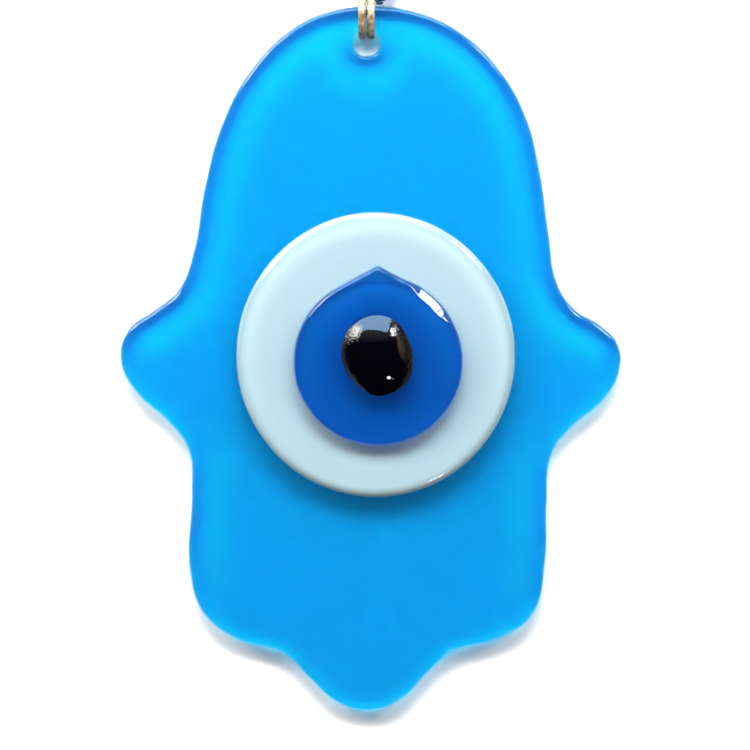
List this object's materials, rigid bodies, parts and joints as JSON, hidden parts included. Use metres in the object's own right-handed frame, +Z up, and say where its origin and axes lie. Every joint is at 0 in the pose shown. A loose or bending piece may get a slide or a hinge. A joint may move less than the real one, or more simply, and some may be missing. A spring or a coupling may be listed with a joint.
{
  "type": "evil eye wall ornament",
  "caption": "Hand-shaped plate of azure glass with a fused glass eye on its front, hung by a brass split ring from a loop of cobalt glass beads.",
  "frame": {"origin": "inner top of the hanging loop, where a nail holds it", "axes": "+Z up, -Y out of the front of the ornament, +X to the right as seen from the front"},
  "size_m": [0.1082, 0.0187, 0.1993],
  "materials": {
    "azure_glass": "clear kiln-formed glass, azure, fire-polished edges",
    "opal_glass": "opaque white opal glass, glossy, a faint cool tint",
    "deep_blue_glass": "clear deep blue glass, glossy",
    "black_glass": "opaque black glass, high gloss",
    "antique_brass": "worn antique brass wire",
    "cobalt_glass": "deep cobalt glass, glossy",
    "dark_seed_glass": "dark blue seed bead glass, glossy",
    "navy_cord": "waxed twisted cotton"
  },
  "bodies": {
    "hanger": {"strand_cord": "navy_cord", "hanger_knot": "navy_cord", "hanging_loop": "navy_cord"},
    "ring": {"split_ring": "antique_brass"},
    "ornament": {"hamsa_plate": "azure_glass", "white_disc": "opal_glass", "iris_disc": "deep_blue_glass", "pupil_drop": "black_glass"},
    "left_seed_high": {"left_seed_high": "dark_seed_glass"},
    "left_seed_low": {"left_seed_low": "dark_seed_glass"},
    "right_seed_high": {"right_seed_high": "dark_seed_glass"},
    "right_seed_low": {"right_seed_low": "dark_seed_glass"},
    "left_bead_1": {"left_bead_1": "cobalt_glass"},
    "left_bead_2": {"left_bead_2": "cobalt_glass"},
    "left_bead_3": {"left_bead_3": "cobalt_glass"},
    "left_bead_4": {"left_bead_4": "cobalt_glass"},
    "right_bead_1": {"right_bead_1": "cobalt_glass"},
    "right_bead_2": {"right_bead_2": "cobalt_glass"},
    "right_bead_3": {"right_bead_3": "cobalt_glass"},
    "right_bead_4": {"right_bead_4": "cobalt_glass"},
    "right_bead_5": {"right_bead_5": "cobalt_glass"}
  },
  "joints": [
    {"name": "ring_swing", "type": "hinge", "parent": "hanger", "child": "ring", "pos_m": [0, 0, -0.04365], "axis": [1, 0, 0], "range_deg": [-25, 0]},
    {"name": "ornament_sway", "type": "hinge", "parent": "ring", "child": "ornament", "pos_m": [0, 0, -0.05275], "axis": [0, 1, 0], "range_deg": [-6, 20]},
    {"name": "left_seed_high_spin", "type": "hinge", "parent": "hanger", "child": "left_seed_high", "pos_m": [-0.00173, 0, -0.02181], "axis": [-0.2354, 0, -0.9719], "continuous": true},
    {"name": "left_seed_low_spin", "type": "hinge", "parent": "hanger", "child": "left_seed_low", "pos_m": [-0.0025, 0, -0.04006], "axis": [0, -0.0236, -0.9997], "continuous": true},
    {"name": "right_seed_high_spin", "type": "hinge", "parent": "hanger", "child": "right_seed_high", "pos_m": [0.00227, 0, -0.02223], "axis": [-0.3814, 0, 0.9244], "continuous": true},
    {"name": "right_seed_low_spin", "type": "hinge", "parent": "hanger", "child": "right_seed_low", "pos_m": [0.00279, 0, -0.04362], "axis": [0.998, 0, 0.0639], "continuous": true},
    {"name": "left_bead_1_spin", "type": "hinge", "parent": "hanger", "child": "left_bead_1", "pos_m": [-0.00254, 0, -0.03706], "axis": [0, -0.0032, -1], "continuous": true},
    {"name": "left_bead_2_spin", "type": "hinge", "parent": "hanger", "child": "left_bead_2", "pos_m": [-0.0025, 0, -0.03297], "axis": [0, -0.0241, -0.9997], "continuous": true},
    {"name": "left_bead_3_spin", "type": "hinge", "parent": "hanger", "child": "left_bead_3", "pos_m": [-0.00235, 0, -0.02887], "axis": [-0.0477, 0, -0.9989], "continuous": true},
    {"name": "left_bead_4_spin", "type": "hinge", "parent": "hanger", "child": "left_bead_4", "pos_m": [-0.00209, 0, -0.02478], "axis": [-0.0803, 0, -0.9968], "continuous": true},
    {"name": "right_bead_1_spin", "type": "hinge", "parent": "hanger", "child": "right_bead_1", "pos_m": [0.00526, 0, -0.04108], "axis": [0.3812, 0, 0.9245], "continuous": true},
    {"name": "right_bead_2_spin", "type": "hinge", "parent": "hanger", "child": "right_bead_2", "pos_m": [0.0059, 0, -0.03692], "axis": [-0.0706, 0, 0.9975], "continuous": true},
    {"name": "right_bead_3_spin", "type": "hinge", "parent": "hanger", "child": "right_bead_3", "pos_m": [0.00536, 0, -0.03286], "axis": [-0.1807, 0, 0.9835], "continuous": true},
    {"name": "right_bead_4_spin", "type": "hinge", "parent": "hanger", "child": "right_bead_4", "pos_m": [0.00444, 0, -0.02887], "axis": [-0.2644, 0, 0.9644], "continuous": true},
    {"name": "right_bead_5_spin", "type": "hinge", "parent": "hanger", "child": "right_bead_5", "pos_m": [0.00323, 0, -0.02496], "axis": [-0.3155, 0, 0.9489], "continuous": true}
  ]
}
